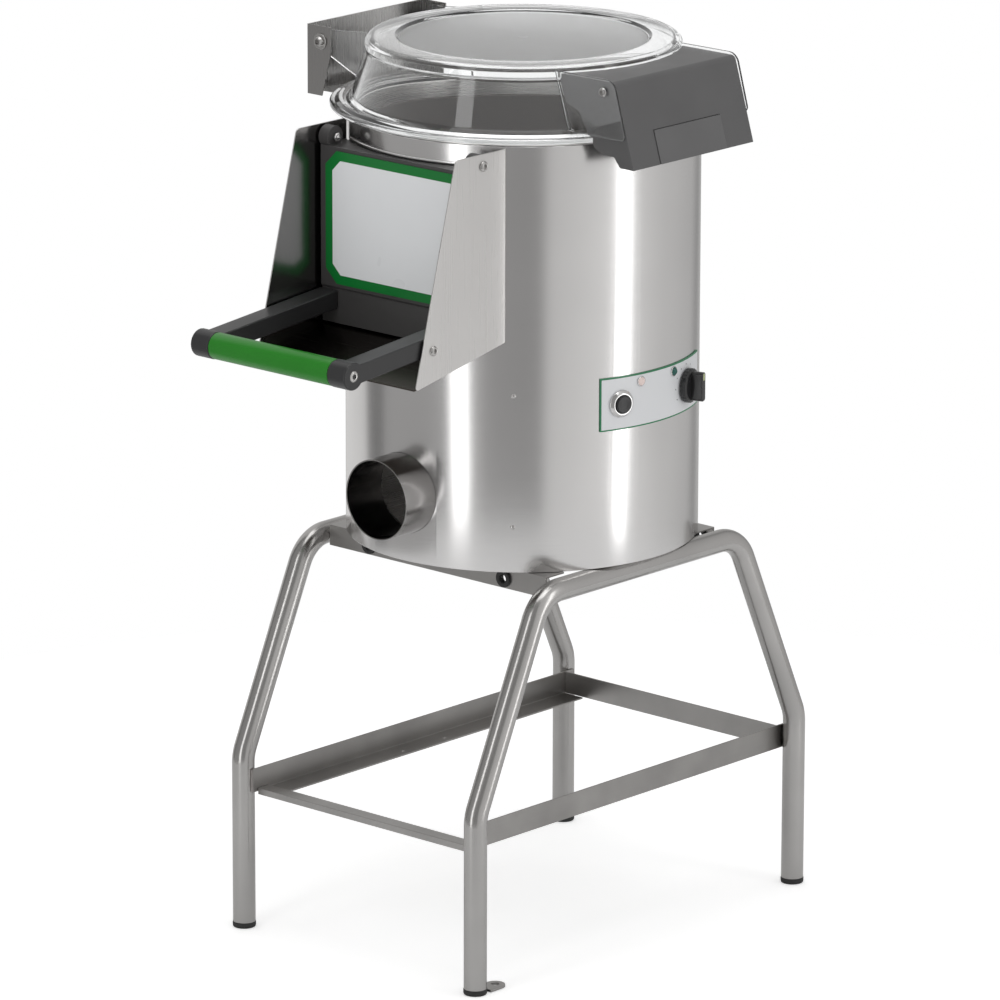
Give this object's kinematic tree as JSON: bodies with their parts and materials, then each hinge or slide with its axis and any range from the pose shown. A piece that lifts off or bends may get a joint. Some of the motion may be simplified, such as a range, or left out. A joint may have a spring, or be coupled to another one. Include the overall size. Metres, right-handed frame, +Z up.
{
  "type": "electric potato peeler",
  "caption": "Floor-standing electric potato peeler: stainless drum on a bent-tube stand, clear hinged lid, front discharge door with tray handle, drain spout and control panel.",
  "frame": {"origin": "on the floor, at the middle of the footprint's bounding box", "axes": "+Z up; -Y is the front, where the discharge door, its handle and the drain spout are; +X is the side of the control panel and the lid's handle cover"},
  "size_m": [0.4768, 0.6798, 0.9845],
  "materials": {
    "casing_steel": "satin brushed stainless sheet, grain round the drum",
    "stand_steel": "satin stainless tube and folded sheet",
    "inner_steel": "plain stainless sheet",
    "fastener_steel": "bright",
    "shaft_steel": "ground",
    "cast_metal": "as cast",
    "black_rubber": "matt",
    "dark_plastic": "dark grey, fine moulded grain",
    "black_plastic": "black",
    "clear_plastic": "clear polycarbonate, polished",
    "green_plastic": "green sleeve",
    "label_film": "pale grey film with a green border",
    "lamp_clear_lens": "clear lens",
    "lamp_green_lens": "green lens",
    "grit_lining": "abrasive grit",
    "motor_paint": "dark paint",
    "plated_brass": "nickel plated"
  },
  "bodies": {
    "machine": {"stand_tube_left": "stand_steel", "stand_tube_right": "stand_steel", "stand_bar_front": "stand_steel", "stand_bar_rear": "stand_steel", "shelf_rail_left": "stand_steel", "shelf_rail_right": "stand_steel", "shelf_rail_rear": "stand_steel", "shelf_strip_front": "stand_steel", "foot_cap_front_left": "black_rubber", "foot_cap_front_right": "black_rubber", "foot_cap_rear_left": "black_rubber", "foot_cap_rear_right": "black_rubber", "floor_lug": "stand_steel", "bar_grommet_left": "black_rubber", "bar_grommet_right": "black_rubber", "casing_drum": "casing_steel", "base_plate": "inner_steel", "rim_seal": "black_rubber", "peeling_chamber": "inner_steel", "abrasive_lining": "grit_lining", "drain_pan": "inner_steel", "drain_duct": "inner_steel", "drain_spout": "casing_steel", "bearing_housing": "cast_metal", "bearing_upper": "shaft_steel", "bearing_lower": "shaft_steel", "shaft_seal": "black_rubber", "drive_belt": "black_rubber", "motor_plate": "inner_steel", "motor_housing": "motor_paint", "water_inlet": "plated_brass", "cable_gland": "black_plastic", "hinge_bracket": "casing_steel", "hinge_bolt_front": "fastener_steel", "hinge_bolt_rear": "fastener_steel", "chute_side_left": "casing_steel", "chute_side_right": "casing_steel", "chute_floor": "casing_steel", "door_pin_left": "fastener_steel", "door_pin_right": "fastener_steel", "control_panel": "label_film", "button_bezel": "fastener_steel", "lamp_clear": "lamp_clear_lens", "lamp_green": "lamp_green_lens", "timer_body": "black_plastic"},
    "lid": {"lid_dome": "clear_plastic", "lid_cover": "dark_plastic"},
    "discharge_door": {"door_panel": "dark_plastic", "door_seal": "black_rubber", "door_label": "label_film", "door_arm_left": "dark_plastic", "door_arm_right": "dark_plastic", "handle_grip": "green_plastic"},
    "push_button": {"start_button": "black_plastic"},
    "timer_dial": {"timer_knob": "black_plastic"},
    "peeling_rotor": {"abrasive_disc": "grit_lining", "drive_shaft": "shaft_steel", "driven_pulley": "cast_metal"},
    "motor_rotor": {"motor_shaft": "shaft_steel", "motor_pulley": "cast_metal"}
  },
  "joints": [
    {"name": "lid_hinge", "type": "hinge", "parent": "machine", "child": "lid", "pos_m": [-0.2184, 0.06305, 0.961], "axis": [0, -1, 0], "range_deg": [0, 80]},
    {"name": "door_hinge", "type": "hinge", "parent": "machine", "child": "discharge_door", "pos_m": [-0.0054, -0.12895, 0.888], "axis": [-1, 0, 0], "range_deg": [0, 65]},
    {"name": "start_press", "type": "slide", "parent": "machine", "child": "push_button", "axis": [-0.965, 0.2622, 0], "range_m": [0, 0.0035], "stiffness_N_per_m": 300},
    {"name": "timer_turn", "type": "hinge", "parent": "machine", "child": "timer_dial", "pos_m": [0.18089, 0.12, 0.6158], "axis": [-0.9563, -0.2924, 0], "range_deg": [0, 300]},
    {"name": "disc_spin", "type": "hinge", "parent": "machine", "child": "peeling_rotor", "pos_m": [-0.0054, 0.06305, 0.56], "axis": [0, 0, 1], "continuous": true},
    {"name": "motor_spin", "type": "hinge", "parent": "machine", "child": "motor_rotor", "pos_m": [-0.0054, 0.16805, 0.457], "axis": [0, 0, 1], "continuous": true}
  ],
  "couplings": [
    {"joint": "motor_spin", "follows": "disc_spin", "ratio": 4.2258}
  ]
}
